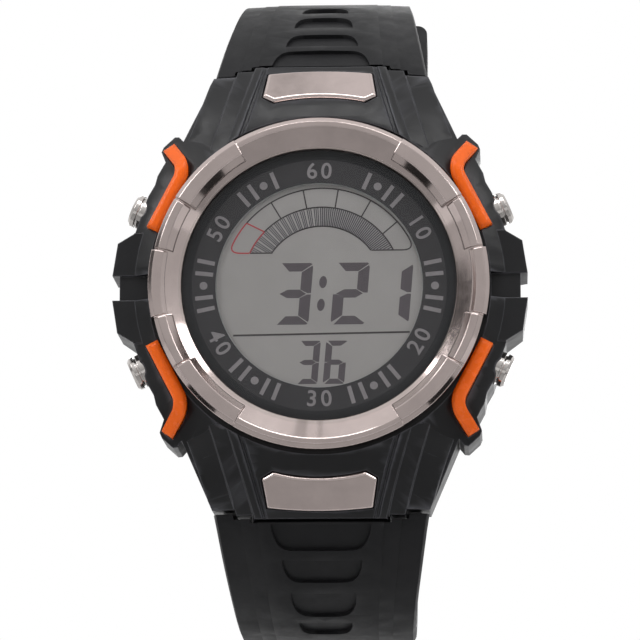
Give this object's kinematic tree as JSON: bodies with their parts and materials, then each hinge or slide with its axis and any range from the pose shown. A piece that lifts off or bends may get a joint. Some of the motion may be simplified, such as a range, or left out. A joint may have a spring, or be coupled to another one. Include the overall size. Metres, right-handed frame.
{
  "type": "digital watch",
  "caption": "Digital wristwatch with a round ringed dial, resin case, orange corner trims, push buttons and a buckled resin strap.",
  "frame": {"origin": "centre of the case back's outer face", "axes": "+X to 3 o'clock, +Z to 12 o'clock, dial facing -Y, strap loop behind it along +Y"},
  "size_m": [0.0466, 0.0735, 0.0794],
  "materials": {
    "black_resin": "semi-matt moulded resin",
    "strap_resin": "fine matt grain",
    "rose_metal": "polished, warm grey tint",
    "clear_lens": "clear, polished",
    "black_print": "satin print",
    "display_glass": "grey-green polariser",
    "backlight": "pale film",
    "zebra_rubber": "striped rubber",
    "grey_plastic": "moulded",
    "green_board": "solder resist",
    "chip_resin": "cured drop",
    "steel": "bright",
    "back_steel": "circular brushed",
    "brass": "bright",
    "seal_rubber": "smooth",
    "buckle_steel": "blasted grey",
    "orange_trim": "glossy",
    "pusher_metal": "polished"
  },
  "bodies": {
    "watch": {"case": "black_resin", "bezel": "rose_metal", "lens": "clear_lens", "dial_ring": "black_print", "lcd_glass": "display_glass", "backlight_panel": "backlight", "display_connectors": "zebra_rubber", "module_frame": "grey_plastic", "circuit_board": "green_board", "driver_chip": "chip_resin", "quartz_crystal": "steel", "coin_battery": "steel", "battery_holder": "grey_plastic", "battery_clip": "steel", "piezo_buzzer": "brass", "case_back": "back_steel", "back_screws": "steel", "back_gasket": "seal_rubber", "plate_upper": "rose_metal", "plate_lower": "rose_metal", "strap_pin_upper": "steel", "strap_pin_lower": "steel", "trim_upper_right": "orange_trim", "trim_upper_left": "orange_trim", "trim_lower_left": "orange_trim", "trim_lower_right": "orange_trim", "pusher_spring_upper_right": "steel", "pusher_spring_upper_left": "steel", "pusher_spring_lower_left": "steel", "pusher_spring_lower_right": "steel"},
    "push_button_upper_right": {"pusher_upper_right": "pusher_metal", "pusher_clip_upper_right": "steel"},
    "push_button_upper_left": {"pusher_upper_left": "pusher_metal", "pusher_clip_upper_left": "steel"},
    "push_button_lower_left": {"pusher_lower_left": "pusher_metal", "pusher_clip_lower_left": "steel"},
    "push_button_lower_right": {"pusher_lower_right": "pusher_metal", "pusher_clip_lower_right": "steel"},
    "short_strap": {"strap_upper": "strap_resin", "buckle_pin": "steel"},
    "long_strap": {"strap_lower": "strap_resin"},
    "buckle": {"buckle_frame": "buckle_steel"},
    "prong": {"buckle_prong": "buckle_steel"},
    "band_keeper": {"keeper": "strap_resin"}
  },
  "joints": [
    {"name": "press_upper_right", "type": "slide", "parent": "watch", "child": "push_button_upper_right", "axis": [-0.9121, 0, -0.4099], "range_m": [0, 0.0008], "stiffness_N_per_m": 900, "springref_m": -0.0008, "deforming": ["pusher_spring_upper_right"]},
    {"name": "press_upper_left", "type": "slide", "parent": "watch", "child": "push_button_upper_left", "axis": [0.9121, 0, -0.4099], "range_m": [0, 0.0008], "stiffness_N_per_m": 900, "springref_m": -0.0008, "deforming": ["pusher_spring_upper_left"]},
    {"name": "press_lower_left", "type": "slide", "parent": "watch", "child": "push_button_lower_left", "axis": [0.9121, 0, 0.4099], "range_m": [0, 0.0008], "stiffness_N_per_m": 900, "springref_m": -0.0008, "deforming": ["pusher_spring_lower_left"]},
    {"name": "press_lower_right", "type": "slide", "parent": "watch", "child": "push_button_lower_right", "axis": [-0.9121, 0, 0.4099], "range_m": [0, 0.0008], "stiffness_N_per_m": 900, "springref_m": -0.0008, "deforming": ["pusher_spring_lower_right"]},
    {"name": "short_strap_swing", "type": "hinge", "parent": "watch", "child": "short_strap", "pos_m": [0, -0.0034, 0.0234], "axis": [1, 0, 0], "range_deg": [0, 4]},
    {"name": "long_strap_swing", "type": "hinge", "parent": "watch", "child": "long_strap", "pos_m": [0, -0.0034, -0.0234], "axis": [-1, 0, 0], "range_deg": [0, 4]},
    {"name": "buckle_swing", "type": "hinge", "parent": "short_strap", "child": "buckle", "pos_m": [0, 0.04741, 0.03281], "axis": [1, 0, 0], "range_deg": [-20, 45]},
    {"name": "prong_swing", "type": "hinge", "parent": "buckle", "child": "prong", "pos_m": [0, 0.04741, 0.03281], "axis": [1, 0, 0], "range_deg": [0, 90]},
    {"name": "keeper_slide", "type": "slide", "parent": "short_strap", "child": "band_keeper", "axis": [0, 0.9613, -0.2756], "range_m": [-0.0035, 0.004]}
  ]
}
